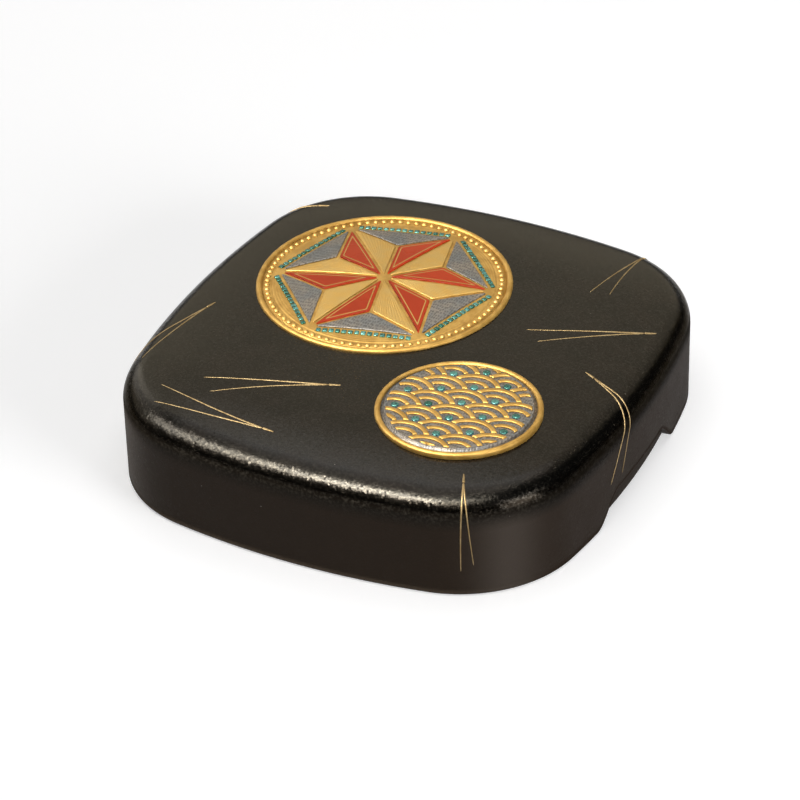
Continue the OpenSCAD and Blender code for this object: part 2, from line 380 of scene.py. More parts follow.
def mosaic(spot, out):
    """One output of a random mosaic: the Distance to a cell's centre, the cell's Color, or its Position."""
    return add(tree_of(spot), "TexVoronoi", {"feature": "F1"}, out, Vector=spot, Scale=1.0, Randomness=1.0)


def grain_nodes(tree, given):
    """Fine waves, and slow patches of so many times their size."""
    spot = coordinates(tree, given["Size"])
    fine = add(tree, "TexNoise", Vector=spot, Scale=1.0, Detail=3.0, Roughness=0.55)
    broad = coordinates(tree, times(given["Size"], patch_size))
    patch = add(tree, "TexNoise", Vector=broad, Scale=1.0, Detail=2.0)
    return fine, between(patch, *patch_edges)


def speck_nodes(tree, given):
    """Round specks in a share of the cells of a random mosaic. The radius is a share of the spacing."""
    spot = coordinates(tree, given["Spacing"])
    gap = mosaic(spot, "Distance")
    pick = add(tree, "SeparateColor", Color=mosaic(spot, "Color"))
    chosen = calc("LESS_THAN", pick, given["Share"])
    core = times(given["Radius"], speck_core)
    dot = calc("SUBTRACT", 1.0, between(gap, core, given["Radius"]))
    return times(dot, chosen), pick


def facet_nodes(tree, given):
    """A height made of small flat facets. A share of them tilts, each its own way: (place - cell's centre)
    times (cell's colour - 1/2), as a dot product."""
    spot = coordinates(tree, given["Size"])
    centre = mosaic(spot, "Position")
    tilt = calc("SUBTRACT", mosaic(spot, "Color"), (0.5, 0.5, 0.5), kind="VectorMath")
    offset = calc("SUBTRACT", spot, centre, kind="VectorMath")
    height = calc("DOT_PRODUCT", offset, tilt, kind="VectorMath", out=1)
    pick = add(tree, "TexWhiteNoise", {"noise_dimensions": "3D"}, Vector=centre)
    return [times(height, calc("LESS_THAN", pick, given["Share"]))]


def stroke_nodes(tree, given):
    """Even rows of short strokes, twice as long as wide, on the two level coordinates."""
    spot = calc("MULTIPLY", coordinates(tree, given["Size"]), stroke_stretch, kind="VectorMath")
    level_cells = {"feature": "F1", "voronoi_dimensions": "2D"}
    gap = add(tree, "TexVoronoi", level_cells, Vector=spot, Scale=1.0, Randomness=stroke_scatter)
    return [between(gap, stroke_core, stroke_edge, 1.0, 0.0)]


grain = effect("grain", ["Fine", "Patch"], grain_nodes, Size=1.0)
specks = effect("specks", ["Mask", "Pick"], speck_nodes, Spacing=1.0, Radius=0.2, Share=0.2)
facets = effect("facets", ["Height"], facet_nodes, Size=0.3, Share=0.4)
strokes = effect("strokes", ["Mask"], stroke_nodes, Size=0.4)


def bump(height, depth):
    """A normal bent by a height from 0 to 1 that stands for a depth in millimetres."""
    return add(tree_of(height), "Bump", Height=height, Distance=depth * MM, Strength=1.0)


print("shared effects:", [group.name for group in bpy.data.node_groups])

# %% [markdown]
# ## Black lacquer
# The lid's lacquer is polished on top and rubbed to a satin down the wall. It has an orange peel whose
# facets glitter along the shoulder, fine grit whose lighter specks are partly painted glints, a little
# dust, a brown cast where the coat is thin, and painted light: a lighter tone on the corners of the wall.
# Below the shoulder's highlight, at the rim and down the wall its reflection is painted darker, as shade,
# and the band under the highlight is painted blacker. Inside it carries gold flakes, as such boxes often
# do. The masks for these could be painted, but here the mesh carries them as marks worked out from its
# own heights.
#
# At a grazing angle a plain coat would mirror the white floor. So on the shoulder the shader is a metal
# as dark as the lacquer's own reflection, because only a metal can have a tint for grazing angles alone.

# %% Black lacquer
lacquer_black = (0.005, 0.0038, 0.0024)
lacquer_brown = (0.012, 0.0074, 0.0047)
lacquer_gloss = (0.0088, 0.0084, 0.0076)
# Lighter specks, partly grit and partly painted glints of the orange peel
lacquer_grit_and_glint = (0.05, 0.0458, 0.0385)
# Painted shade: a blacker tone for the band below the shoulder's highlight
lacquer_painted_shade = (0.0042, 0.0034, 0.0026)
# Painted light: a lighter tone laid on the corners of the wall
corner_light_tone = (0.05, 0.042, 0.036)
# Specular tints that paint the reflection darker, as shade: sheen_shade below the shoulder's highlight and
# at the rim, sheen_brown down the wall
sheen_brown = (0.52, 0.45, 0.39)
sheen_shade = (0.2, 0.17, 0.14)
sheen_graze = (0.54, 0.525, 0.505)
dust_grey = (0.16, 0.15, 0.13)
flake_gold = (0.60, 0.36, 0.09)
white = (1, 1, 1)
coat_grain = 0.42
coat_dust = dict(Spacing=2.6, Radius=0.045, Share=0.12)
coat_flakes = dict(Spacing=0.42, Radius=0.42, Share=0.36)
flake_metal = 0.85
thin_patch = 0.4
thin_wall = 0.8
grit_and_glint_waves = (0.42, 0.7)
grit_and_glint_share = 0.24
rough_patch = 0.03
rough_dust = 0.4
peel_facets = dict(Size=0.3, Share=0.42)
peel_waves = 0.5
peel_on_top = 0.4
peel_depth = 0.045


def lacquer_nodes(ior, polish, rubbed):
    """Builder of a dark coat whose roughness goes from polish to rubbed with the mark satin. Other marks say
    where it has flakes (inside), is browned (edge, wall), has its full peel (turned), has its reflection
    painted darker as shade (shade, edge, wall), is set as dark metal (graze), is painted blacker as shade
    under the highlight (deep), and carries painted light on the corners of its wall."""
    def build(tree):
        fine, patch = grain(tree, Size=coat_grain)
        dust, _ = specks(tree, **coat_dust)
        flakes, _ = specks(tree, **coat_flakes)
        flakes = times(flakes, mark(tree, "inside"))
        edge, wall, graze = (mark(tree, name) for name in ("edge", "wall", "graze"))
        thin = calc("MAXIMUM", edge, times(patch, thin_patch))
        thin = calc("MAXIMUM", thin, times(wall, thin_wall))
        # Partly grit and partly painted glints: lighter specks on all but the wall
        grit_and_glint = between(fine, *grit_and_glint_waves, 0.0, grit_and_glint_share)
        grit_and_glint = times(grit_and_glint, calc("SUBTRACT", 1.0, wall))
        deep, corner_light, shade = (mark(tree, name) for name in ("deep", "corner_light", "shade"))
        ground = layers(
            lacquer_black, (thin, lacquer_brown), (graze, lacquer_gloss), (deep, lacquer_painted_shade),
            (grit_and_glint, lacquer_grit_and_glint), (corner_light, corner_light_tone), (dust, dust_grey), (flakes, flake_gold),
        )
        rough = between(mark(tree, "satin"), 0.0, 1.0, polish, rubbed)
        rough = calc("ADD", rough, times(patch, rough_patch))
        peel = calc("ADD", facets(tree, **peel_facets)[0], times(fine, peel_waves))
        peel = times(peel, between(mark(tree, "turned"), 0.0, 1.0, peel_on_top, 1.0))
        # The sheen paints the reflection darker, as shade, below the highlight, at the rim and down the wall
        sheen = layers(
            white, (shade, sheen_shade), (graze, sheen_graze), (wall, sheen_brown), (edge, sheen_shade)
        )
        return {
            "Base Color": ground,
            "Metallic": calc("MAXIMUM", graze, times(flakes, flake_metal)),
            "Roughness": calc("ADD", rough, times(dust, rough_dust)),
            "IOR": ior,
            "Specular Tint": sheen,
            "Normal": bump(peel, peel_depth),
        }
    return build


black_lacquer = finish("black_lacquer", lacquer_nodes(ior=1.21, polish=0.19, rubbed=0.62))
tray_lacquer = finish("tray_lacquer", lacquer_nodes(ior=1.19, polish=0.3, rubbed=0.62))
print("lacquer finishes made")

# %% [markdown]
# ## The lid
# In wood the lid is a hoop with a board on it, and the lacquer covers both in one skin, so here it is one
# shell. Its loops start in the middle of the top, run out over crown and shoulder, down the wall, round
# the rim, up the inside and in under the ceiling. Booleans could cut the finger notches, but a notch is
# only a lift of the rim: the wall's loops are spaced between shoulder and rim, so they follow it by
# themselves and stay even.

# %% The lid's skin
columns = 760
top_steps = 10
crown_steps = 14
shoulder_steps = 22
wall_steps = 14
edge_steps = 6
inner_steps = 10
middle_steps = 12
inside_loops = (inner_steps - 2) + edge_steps + (middle_steps - 1)
lid_middle = 0.1
rim_edge = 0.22
rim_fade = 0.35
ceiling_fillet = 0.2
notch_side = 0.9
# Share of painted light on the wall's corners
corner_light_level = 0.6
corner_spread = radians(14)
facing = even_facings(columns)[None, :]


def stack(*bands):
    """Joins bands of loops, each given as (inset, height) or (inset, height, shrink), into three arrays."""
    full = [np.broadcast_arrays(*(band + (1.0,))[:3], facing)[:3] for band in bands]
    return [np.concatenate(rows) for rows in zip(*full)]


def steps(start, end, count):
    """A column of even steps, one per loop."""
    return np.linspace(start, end, count)[:, None]


def wrap(inset, height, shrink):
    """Points of loops on the outline; a shrink below 1 draws a loop in towards the middle."""
    x, y = plan(facing, inset)
    return np.stack([x * shrink, y * shrink, height], -1)[None]


rim_x, rim_y = plan(facing, 0)
swing = np.clip((np.abs(rim_y) - notch_top / 2) / ((notch_foot - notch_top) / 2), 0, 1)
lift = np.where(np.abs(rim_x) > half_w * notch_side, notch_h * (1 + np.cos(pi * swing)) / 2, 0)
foot = rim_z + lift
over_shoulder = crown_run + steps(0, shoulder_run, shoulder_steps)[1:]
inset, height, _ = section(np.concatenate([steps(0, crown_run, crown_steps), over_shoulder]))
quarter = steps(0, pi / 2, edge_steps)
s, c = np.sin(quarter), np.cos(quarter)
wall_share = steps(0, 1, wall_steps)[1:]
inner_share = steps(0, 1, inner_steps)[1:-1]
lid_loops = stack(
    (crown_w, lid_z, steps(lid_middle, 1, top_steps)[:-1]),
    (inset, height),
    (0.0, shoulder_z + (foot + rim_edge - shoulder_z) * wall_share),
    (rim_edge * (1 - c), foot + rim_edge * (1 - s)),
    (lid_wall_t - rim_edge * (1 - s), foot + rim_edge * (1 - c)),
    (lid_wall_t, foot + rim_edge + (ceiling_z - ceiling_fillet - foot - rim_edge) * inner_share),
    (lid_wall_t + ceiling_fillet * (1 - c), ceiling_z - ceiling_fillet * (1 - s)),
    (lid_wall_t + ceiling_fillet, ceiling_z, steps(1, lid_middle, middle_steps)[1:]),
)
lid_points = wrap(*lid_loops)
loop_count = lid_points.shape[1]
lid_inside = (np.arange(loop_count) >= loop_count - inside_loops)[None, :, None].astype(float)
near_rim = np.exp(-np.maximum(lid_loops[1] - foot, 0) / rim_fade)[None]


def ramp(start, height):
    """From 0 at a start above the foot of the shoulder to 1 at so much lower, for every point of the lid."""
    return np.clip((shoulder_z + start - lid_loops[1]) / height, 0, 1)[None]


rubbed_wall = ramp(start=0.8, height=2.4)
outer = 1 - lid_inside
outer_shoulder = (1 - rubbed_wall) * outer
fold = np.arctan2(np.abs(np.sin(facing)), np.abs(np.cos(facing)))
# Painted light: a lighter tone on the wall round its four corners
painted_corner_light = corner_light_level * np.exp(-(((fold - pi / 4) / corner_spread) ** 2)) * rubbed_wall * outer
lid_marks = dict(
    inside=lid_inside,
    edge=near_rim,
    turned=ramp(start=4.1, height=0.6),
    graze=ramp(start=4.06, height=0.9) * outer_shoulder,
    # deep is painted shade: the band below the shoulder's highlight is made blacker
    deep=ramp(start=2.9, height=0.9) * outer_shoulder,
    # shade: the reflection is painted darker here, as shade
    shade=ramp(start=2.5, height=1.1),
    satin=ramp(start=1.7, height=1.1),
    wall=rubbed_wall,
    corner_light=painted_corner_light,
)
piece("lid_shell", lid_points, black_lacquer, "lid", "black_lacquer", ["lid_top", "lid_wall"], **lid_marks)

# %% [markdown]
# ## The tray
# The tray is made the same way: loops run from the middle of its floor up the inner wall, over the
# rounded rim, down the outer wall to the foot, and in under the floor board, which sits a little above
# the table.

# %% The tray's skin
tray_outer = half_w - tray_high[0]
tray_inner = tray_outer + tray_wall_t
board_edge = half_w - board_high[0]
outer_steps = 12
tray_middle = 0.08
floor_fillet = 0.9
tray_rim = 0.5
tray_fade = 0.3
foot_edge = 0.2
tray_loops = stack(
    (tray_inner + floor_fillet, floor_z, steps(tray_middle, 1, middle_steps)[:-1]),
    (tray_inner + floor_fillet * (1 - s), floor_z + floor_fillet * (1 - c)),
    (tray_inner, steps(floor_z + floor_fillet, tray_z - tray_rim, inner_steps)[1:-1]),
    (tray_inner - tray_rim * (1 - c), tray_z - tray_rim * (1 - s)),
    (tray_outer + tray_rim * (1 - s), tray_z - tray_rim * (1 - c)),
    (tray_outer, steps(tray_z - tray_rim, foot_edge, outer_steps)[1:-1]),
    (tray_outer + foot_edge * (1 - c), foot_edge * (1 - s)),
    (board_edge - foot_edge * (1 - s), foot_edge * (1 - c)),
    (board_edge, board_low[2], steps(1, tray_middle, middle_steps)),
)
tray_points = wrap(*tray_loops)
tray_inside = (np.arange(tray_points.shape[1]) < inside_loops)[None, :, None].astype(float)
tray_edge = np.exp(-np.abs(tray_loops[1] - tray_z) / tray_fade)[None]
piece(
    "tray_shell", tray_points, tray_lacquer, "tray", "tray_lacquer", ["tray_wall", "tray_floor"],
    inside=tray_inside, edge=tray_edge, satin=1 - tray_inside, wall=1 - tray_inside,
)

# %% [markdown]
# ## Gold, vermilion, grey metal and shell
# The gold is powder and foil burnished on lacquer, with grains that catch the light and redder patches.
# Drawn lines hold less powder, so their gold is duller. The grey sheet metal is dull, with chased strokes
# and pits. Vermilion is lacquer with a deep gloss. Shell changes from green to blue from piece to piece,
# so each carries its own tone as a mark. A full metal would show only what it mirrors, mostly dark here,
# so gold, grey metal and shell are partly metal and partly paint.

# %% Gold
gold_bright = (0.40, 0.245, 0.06)
gold_deep = (0.29, 0.165, 0.032)
gold_pale = (0.37, 0.25, 0.08)
gold_worn = (0.16, 0.085, 0.03)
line_bright = (0.228, 0.168, 0.082)
line_deep = (0.165, 0.112, 0.046)
gold_grain = 0.16
gold_glints = dict(Spacing=0.16, Radius=0.5, Share=0.5)
gold_wear = dict(Spacing=1.3, Radius=0.1, Share=0.2)
uneven_tone = 0.35
groove_tone = 0.45
wear_tone = 0.7
glint_h = 0.5
groove_h = 1.6
groove_trough = (-1.0, -0.2)
gold_waves = (0.3, 0.7)
gold_rough = (0.4, 0.55)
gold_depth = 0.014


def gold_nodes(bright, deep):
    """Builder of a gold finish: two golds in patches, grains that glint, worn spots, and combed lines in the
    troughs of sin(2 pi x comb). A piece without the mark comb has none."""
    def build(tree):
        fine, patch = grain(tree, Size=gold_grain)
        glint, pick = specks(tree, **gold_glints)
        worn, _ = specks(tree, **gold_wear)
        groove = between(calc("SINE", times(mark(tree, "comb"), 2 * pi)), *groove_trough)
        uneven = times(pick, uneven_tone)
        combed = between(groove, 0.0, 1.0, groove_tone, 0.0)
        worn = times(worn, wear_tone)
        height = calc("ADD", fine, times(glint, glint_h))
        height = calc("ADD", height, times(groove, groove_h))
        return {
            "Base Color": layers(bright, (patch, deep), (uneven, deep), (combed, deep), (worn, gold_worn)),
            "Metallic": 0.45,
            "Roughness": between(fine, *gold_waves, *gold_rough),
            "IOR": 1.3,
            "Normal": bump(height, gold_depth),
        }
    return build


gold = finish("gold", gold_nodes(gold_bright, gold_deep))
pale_gold = finish("pale_gold", gold_nodes(gold_pale, gold_bright))
line_gold = finish("line_gold", gold_nodes(line_bright, line_deep))
print("gold finishes made")

# %% Vermilion, grey metal and shell
vermilion_bright = (0.55, 0.052, 0.012)
vermilion_deep = (0.38, 0.032, 0.008)
metal_grey = (0.25, 0.222, 0.19)
metal_dark = (0.05, 0.047, 0.044)
metal_blue = (0.175, 0.182, 0.185)
shell_green = (0.008, 0.085, 0.062)
shell_blue = (0.010, 0.05, 0.085)
# Partly the shell's own figure and partly a painted lustre
shell_bright = (0.12, 0.36, 0.31)
vermilion_grain = 0.5
vermilion_dust = dict(Spacing=2.0, Radius=0.05, Share=0.15)
vermilion_patch = 0.4
vermilion_specks = 0.5
vermilion_rough = (0.22, 0.32)
vermilion_depth = 0.006
gold_line_starts = (0.42, 0.47)
gold_line_ends = (0.58, 0.63)
gold_line_metal = 0.9
edge_shade_w = 0.25
edge_shade_tone = 0.6
metal_grain = 0.3
metal_strokes = 0.4
metal_pits = dict(Spacing=0.55, Radius=0.42, Share=0.2)
stroke_depth = 0.85
pit_depth = 0.7
hollow_depth = 0.9
hollow_tone = 0.75
grime_waves = (0.3, 0.75)
grime_tone = 0.35
metal_waves = (0.25, 0.75)
metal_rough = (0.36, 0.5)
metal_depth = 0.035
shell_grain = 0.22
lustre_shift = 0.2
lustre_waves = (0.5, 0.72)
lustre_tone = 0.8
shell_depth = 0.01


def vermilion_nodes(tree):
    """Red lacquer with slow patches, shade painted along its edge and a fine gold line drawn inside it."""
    fine, patch = grain(tree, Size=vermilion_grain)
    dust, _ = specks(tree, **vermilion_dust)
    edge = mark(tree, "edge")
    line = times(between(edge, *gold_line_starts), between(edge, *gold_line_ends, 1.0, 0.0))
    # Painted shade along the edge, where the leaf turns down
    painted_edge_shade = between(edge, 0.0, edge_shade_w, edge_shade_tone, 0.0)
    red = layers(
        vermilion_bright, (times(patch, vermilion_patch), vermilion_deep), (painted_edge_shade, vermilion_deep),
        (times(dust, vermilion_specks), dust_grey), (line, gold_pale),
    )
    return {
        "Base Color": red,
        "Metallic": times(line, gold_line_metal),
        "Roughness": between(patch, 0.0, 1.0, *vermilion_rough),
        "IOR": 1.18,
        "Normal": bump(fine, vermilion_depth),
    }


def grey_metal_nodes(tree):
    """Dull sheet metal in patches of warm grey and blue: rows of fine chased strokes, and a few pits, both
    darker inside."""
    fine, patch = grain(tree, Size=metal_grain)
    chased = strokes(tree, Size=metal_strokes)[0]
    pits, _ = specks(tree, **metal_pits)
    hollow = calc("MAXIMUM", times(chased, stroke_depth), times(pits, pit_depth))
    grimy = between(fine, *grime_waves, grime_tone, 0.0)
    shaded = times(hollow, hollow_tone)
    height = calc("SUBTRACT", fine, times(hollow, hollow_depth))
    return {
        "Base Color": layers(metal_grey, (patch, metal_blue), (grimy, metal_dark), (shaded, metal_dark)),
        "Metallic": 0.3,
        "Roughness": between(fine, *metal_waves, *metal_rough),
        "IOR": 1.25,
        "Normal": bump(height, metal_depth),
    }


def shell_nodes(tree):
    """Polished shell: each piece's tone runs from green to blue, with brighter bands that are partly
    the shell's own figure and partly a painted lustre.
    """
    fine, _ = grain(tree, Size=shell_grain)
    tone = mark(tree, "tone")
    # Brighter bands: partly the shell's own figure, partly a painted lustre
    figure_and_painted_lustre = between(calc("ADD", fine, times(tone, lustre_shift)), *lustre_waves, 0.0, lustre_tone)
    return {
        "Base Color": layers(shell_green, (tone, shell_blue), (figure_and_painted_lustre, shell_bright)),
        "Metallic": 0.35,
        "Roughness": 0.24,
        "IOR": 1.3,
        "Normal": bump(fine, shell_depth),
    }


vermilion = finish("vermilion_lacquer", vermilion_nodes)
grey_metal = finish("grey_metal", grey_metal_nodes)
shell = finish("shell", shell_nodes)
print("inlay finishes made")

# %% [markdown]
# ## The large roundel
# A half-round rim holds a low gold dome, and on it lies a hemp-leaf star: twelve leaves, six panels
# between their tips, a row of shell squares along each side of the hexagon, and a ring of beads in the
# border. A bevel would do for flat inlay, but hand-cut inlay is rounded over, so each piece is a pillow:
# loops of its outline, drawn in towards the middle, rise steeply at the edge and then run level.

# %% Rims of both roundels
rim_w = 0.9
rim_steps = 360
arch_steps = 13
dent_h = 0.012
dent_waves = 61
dent_swing = 1.7
swing_waves = 17


def circle_steps(count):
    """Angles of a full turn, one per column."""
    return np.linspace(0, 2 * pi, count, endpoint=False)


def polar(reach, turn):
    """The x and y of points at a distance and an angle."""
    return reach * np.cos(turn), reach * np.sin(turn)


def rotated(x, y, turn):
    """The x and y of points turned about the origin."""
    c, s = np.cos(turn), np.sin(turn)
    return c * x - s * y, s * x + c * y


def placed(middle, x, y, z):
    """Points given from a middle, moved to its place."""
    return np.stack(np.broadcast_arrays(middle[0] + x, middle[1] + y, z), -1)


def disc(node):
    """Lowest and highest corner, middle and radius of a round node."""
    low, high = corners(node)
    return low, high, (low + high) / 2, (high[0] - low[0]) / 2


def half_round_rim(node):
    """A ring whose section is a half circle on two straight sides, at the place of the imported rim. Its
    radius is a little uneven: a quick sine wave swung by a slower one."""
    low, high, middle, r = disc(node)
    arch = np.linspace(0, pi, arch_steps)
    radial = np.concatenate([[r], r - rim_w / 2 + rim_w / 2 * np.cos(arch), [r - rim_w]])
    level = np.concatenate([[low[2]], high[2] - rim_w / 2 + rim_w / 2 * np.sin(arch), [low[2]]])
    around = circle_steps(rim_steps)[:, None]
    dent = dent_h * np.sin(around * dent_waves + dent_swing * np.sin(around * swing_waves))
    return placed(middle, *polar(radial + dent, around), level)[None]


for node in ("star_rim", "wave_rim"):
    piece(node + "_wire", half_round_rim(node), gold, "lid", "gold", [node], ring=True)

# %% The dome
ground_low, _ = corners("star_ground")
_, _, star_middle, star_r = disc("star_rim")
star_turn = radians(14)
border_w = 1.6
land_h = 0.15
land_z = lid_z + land_h
field_r = star_r - rim_w - border_w
field_h = 0.1
field_z = land_z + field_h
field_edge = 0.1
dome_r = 180.0
dome_centre = field_z - sqrt(dome_r**2 - field_r**2)
line_w = 0.5
hex_r = field_r - line_w
hex_apothem = hex_r * cos(pi / 6)
tessera = 0.75
ripple_start = 1.25
ripple_fade = 0.15
ripple_h = 0.018
ripple_pitch = 0.42
ground_steps = 420
ground_rings = 170
innermost = 0.4
seam = 0.02


def dome(x, y):
    """Height of the dome over a point given from the roundel's middle: a sphere's upper side."""
    return dome_centre + np.sqrt(dome_r**2 - x**2 - y**2)


def on_star(x, y, z):
    """Points given from the roundel's middle, turned with the star and moved to its place."""
    return placed(star_middle, *rotated(x, y, star_turn), z)


around = circle_steps(ground_steps)[None, :]
border = [star_r - rim_w, star_r - rim_w, field_r + seam]
reach = np.concatenate([border, np.linspace(field_r, innermost, ground_rings)])[:, None]
x, y = polar(reach, around)
apothem = reach * np.cos((around % (pi / 3)) - pi / 6)
outside = np.clip((apothem - hex_apothem - ripple_start) / ripple_fade, 0, 1)
ripple = ripple_h * outside * np.cos(2 * pi * reach / ripple_pitch)
edge_drop = np.clip(1 - (field_r - reach) / field_edge, 0, 1) ** 2 * (field_z - land_z)
z = dome(x, y) + ripple - edge_drop
z[0], z[1:len(border)] = ground_low[2], land_z
piece("star_ground_gold", on_star(x, y, z)[None], gold, "lid", "gold", ["star_ground"])

# %% Leaves and panels
leaf_draw = np.array([0.0, 0.0, 0.025, 0.07, 0.14, 0.3, 0.6, 1.0, 1.5])
leaf_rise = np.array([-0.06, 0.13, 0.175, 0.205, 0.22, 0.222, 0.224, 0.226, 0.228])
leaf_steps = 44
leaf_passes = 2
leaf_reach = 0.9
leaf_top = 0.94
sixths = np.arange(6) * pi / 3
comb_step = radians(2.2)
hammer_h = 0.012
hammer_edge = 0.1
panel_waves = (5.1, 2.3, 4.7, 3.1)


def polygon_loop(points, per_side):
    """A closed polygon's outline with so many even steps on each side."""
    share = np.linspace(0, 1, per_side, endpoint=False)[:, None]
    sides = points[:, None] + (np.roll(points, -1, axis=0) - points)[:, None] * share
    return sides.reshape(-1, 2)


def incentre(t):
    """Middle and radius of the circle that touches a triangle's three sides."""
    opposite = np.linalg.norm(np.roll(t, -1, axis=0) - np.roll(t, -2, axis=0), axis=1)
    half = opposite.sum() / 2
    return opposite @ t / opposite.sum(), sqrt(np.prod(half - opposite) / half)


def hammered(x, y, height, a, b, c, d, swing=2):
    """A shallow, uneven surface: the product of two crossed sine waves, each swung by another."""
    return height * np.sin(x * a + swing * np.sin(y * b)) * np.sin(y * c + swing * np.sin(x * d))


def leaves(name, pick, material, slot, node, roughen=0.0):
    """Six alike panels, laid on the dome and combed along their spokes. Each is a triangle picked from four
    points of a sixth of the star. Its corners are rounded by passes that take a point to the mean of itself
    and its neighbours, and its loops are drawn in from the edge and turned to their places."""
    tips = hex_r * np.array([[1, 0], [cos(pi / 3), sin(pi / 3)]])
    ends = np.array([np.zeros(2), *tips, tips.sum(axis=0) / 3])[pick]
    middle, r = incentre(ends)
    inner = r - line_w / 2
    outline = polygon_loop(middle + (ends - middle) * inner / r, leaf_steps)
    for _ in range(leaf_passes):
        outline = (np.roll(outline, 1, axis=0) + outline + np.roll(outline, -1, axis=0)) / 3
    edge = np.append(leaf_draw[leaf_draw < inner * leaf_reach], inner * leaf_top)
    height = np.interp(edge, leaf_draw, leaf_rise)
    height[0] = leaf_rise[0]
    edge, height = edge[:, None], height[:, None]
    across, along = np.moveaxis(middle + (outline - middle) * (1 - edge / inner)[..., None], -1, 0)
    x, y = rotated(across, along, sixths[:, None, None])
    uneven = hammered(x, y, roughen, *panel_waves) * (edge > hammer_edge)
    points = on_star(x, y, dome(x, y) + height + uneven)
    piece(name, points, material, "lid", slot, [node], edge=edge, comb=np.arctan2(y, x) / comb_step)


leaves("star_vermilion_inlay", [0, 1, 3], vermilion, "vermilion_lacquer", "star_vermilion_leaves")
leaves("star_gold_inlay", [0, 3, 2], pale_gold, "pale_gold", "star_gold_leaves")
leaves("star_grey_inlay", [1, 2, 3], grey_metal, "grey_metal", "star_grey_panels", roughen=hammer_h)

# %% Shell squares
row_pitch = 1.0
row_count = 15
square_count = 6 * row_count
row_offset = line_w / 2 + tessera / 2
square_sizes = (0.9, 1.04)
most_lean = 0.09
corner_signs = ((-1, -1), (1, -1), (1, 1), (-1, 1))
pillow_rise = np.array([-0.06, 0.14, 0.2, 0.215])
pillow_scale = np.array([1.0, 1.0, 0.9, 0.72])
tones = np.random.default_rng(11)
side_turn = np.repeat(sixths + pi / 6, row_count)
step = np.tile((np.arange(row_count) - (row_count - 1) / 2) * row_pitch, 6)
square = polygon_loop(np.array(corner_signs) * tessera / 2, per_side=4)
size = tones.uniform(*square_sizes, (square_count, 1, 1))
lean = tones.uniform(-most_lean, most_lean, (square_count, 2, 1, 1))
local = square[None, None] * pillow_scale[None, :, None, None] * size[..., None]
radial = hex_apothem + row_offset + local[..., 0]
sideways = step[:, None, None] + local[..., 1]
x, y = rotated(radial, sideways, side_turn[:, None, None])
tilt = lean[:, 0] * local[..., 0] + lean[:, 1] * local[..., 1]
points = on_star(x, y, dome(x, y) + pillow_rise[None, :, None] + tilt)
tone = tones.uniform(0, 1, (square_count, 1, 1))
piece("star_shell_squares", points, shell, "lid", "shell", ["star_shell_rows"], tone=tone)

# %% Beads
bead_r = 0.42
bead_sizes = (0.93, 1.05)
bead_count = 88
bead_climb = 0.46 * pi
bead_loops = 6
round_steps = 12
bead_circle = field_r + border_w / 2
bead_x, bead_y = polar(bead_circle, circle_steps(bead_count)[:, None, None])
swell = tones.uniform(*bead_sizes, (bead_count, 1, 1)) * bead_r
out, rise = polar(swell, steps(0, bead_climb, bead_loops))
ring_turn = circle_steps(round_steps)
x, y = polar(out, ring_turn)
points = on_star(bead_x + x, bead_y + y, land_z - seam + rise)
piece("star_beads", points, pale_gold, "lid", "pale_gold", ["star_bead_ring"])

# %% [markdown]
# ## The small roundel
# Its field is the same grey metal, with overlapping wave scales in gold: each has two bands and a dot of
# shell. Whole rings could be cut with booleans, but here a band is swept round its scale's centre, and
# its ends follow the scales in front of it, so the angle at which it stops depends on the radius. Where
# the roundel's edge cuts a scale, the same rule gives the cut.

# %% The field
wave_ground_low, wave_ground_high = corners("wave_ground")
_, _, wave_middle, wave_r = disc("wave_rim")
wave_border = 0.5
wave_edge = 0.06
wave_field_r = wave_r - rim_w - wave_border
wave_field_z = wave_ground_high[2]
wave_steps = 300
wave_rings = 60
first_ring = 0.2
field_waves = (5.3, 2.1, 4.9, 2.9)
around = circle_steps(wave_steps)[None, :]
reach = np.concatenate([
    [wave_r - rim_w, wave_r - rim_w, wave_field_r + seam, wave_field_r, wave_field_r - wave_edge],
    np.linspace(wave_field_r - first_ring, innermost, wave_rings),
])[:, None]
level = np.concatenate([
    [wave_ground_low[2], land_z, land_z, wave_field_z - wave_edge], np.full(wave_rings + 1, wave_field_z)
])[:, None]
x, y = polar(reach, around)
z = level + hammered(x, y, hammer_h, *field_waves) * (reach < wave_field_r - hammer_edge)
points = placed(wave_middle, x, y, z)[None]
piece("wave_field", points, grey_metal, "lid", "grey_metal", ["wave_ground"])

# %% Wave bands
scale_r = 4.4
outer_band_w = 0.75
inner_band_r = 2.73
inner_band_w = 0.65
band_gap = 0.25
fan_lift = 0.6 * scale_r
fan_reach = 0.35 * scale_r
front_x = scale_r
front_y = -scale_r / 2
front_gap = sqrt(front_x**2 + front_y**2)
front_turn = atan2(front_y, front_x)
least_fan = radians(5)
rows = ceil(2 * wave_field_r / scale_r) + 1
cols = 3
band_share = np.array([0, 0, 0.05, 0.16, 0.35, 0.65, 0.84, 0.95, 1, 1])
band_rise = np.array([-0.05, 0.12, 0.175, 0.21, 0.225, 0.225, 0.21, 0.175, 0.12, -0.05])
band_steps = 29
band_end = 0.04
band_end_h = 0.55

# Centres of the scales whose fans reach well into the field, from the roundel's middle
j, i = np.meshgrid(np.arange(-rows, rows + 1), np.arange(-cols, cols + 1), indexing="ij")
centres = scale_r * np.stack([2 * i + j % 2, j / 2], -1).reshape(-1, 2)
centres = centres[np.linalg.norm(centres + [0, fan_lift], axis=1) < wave_field_r + fan_reach]


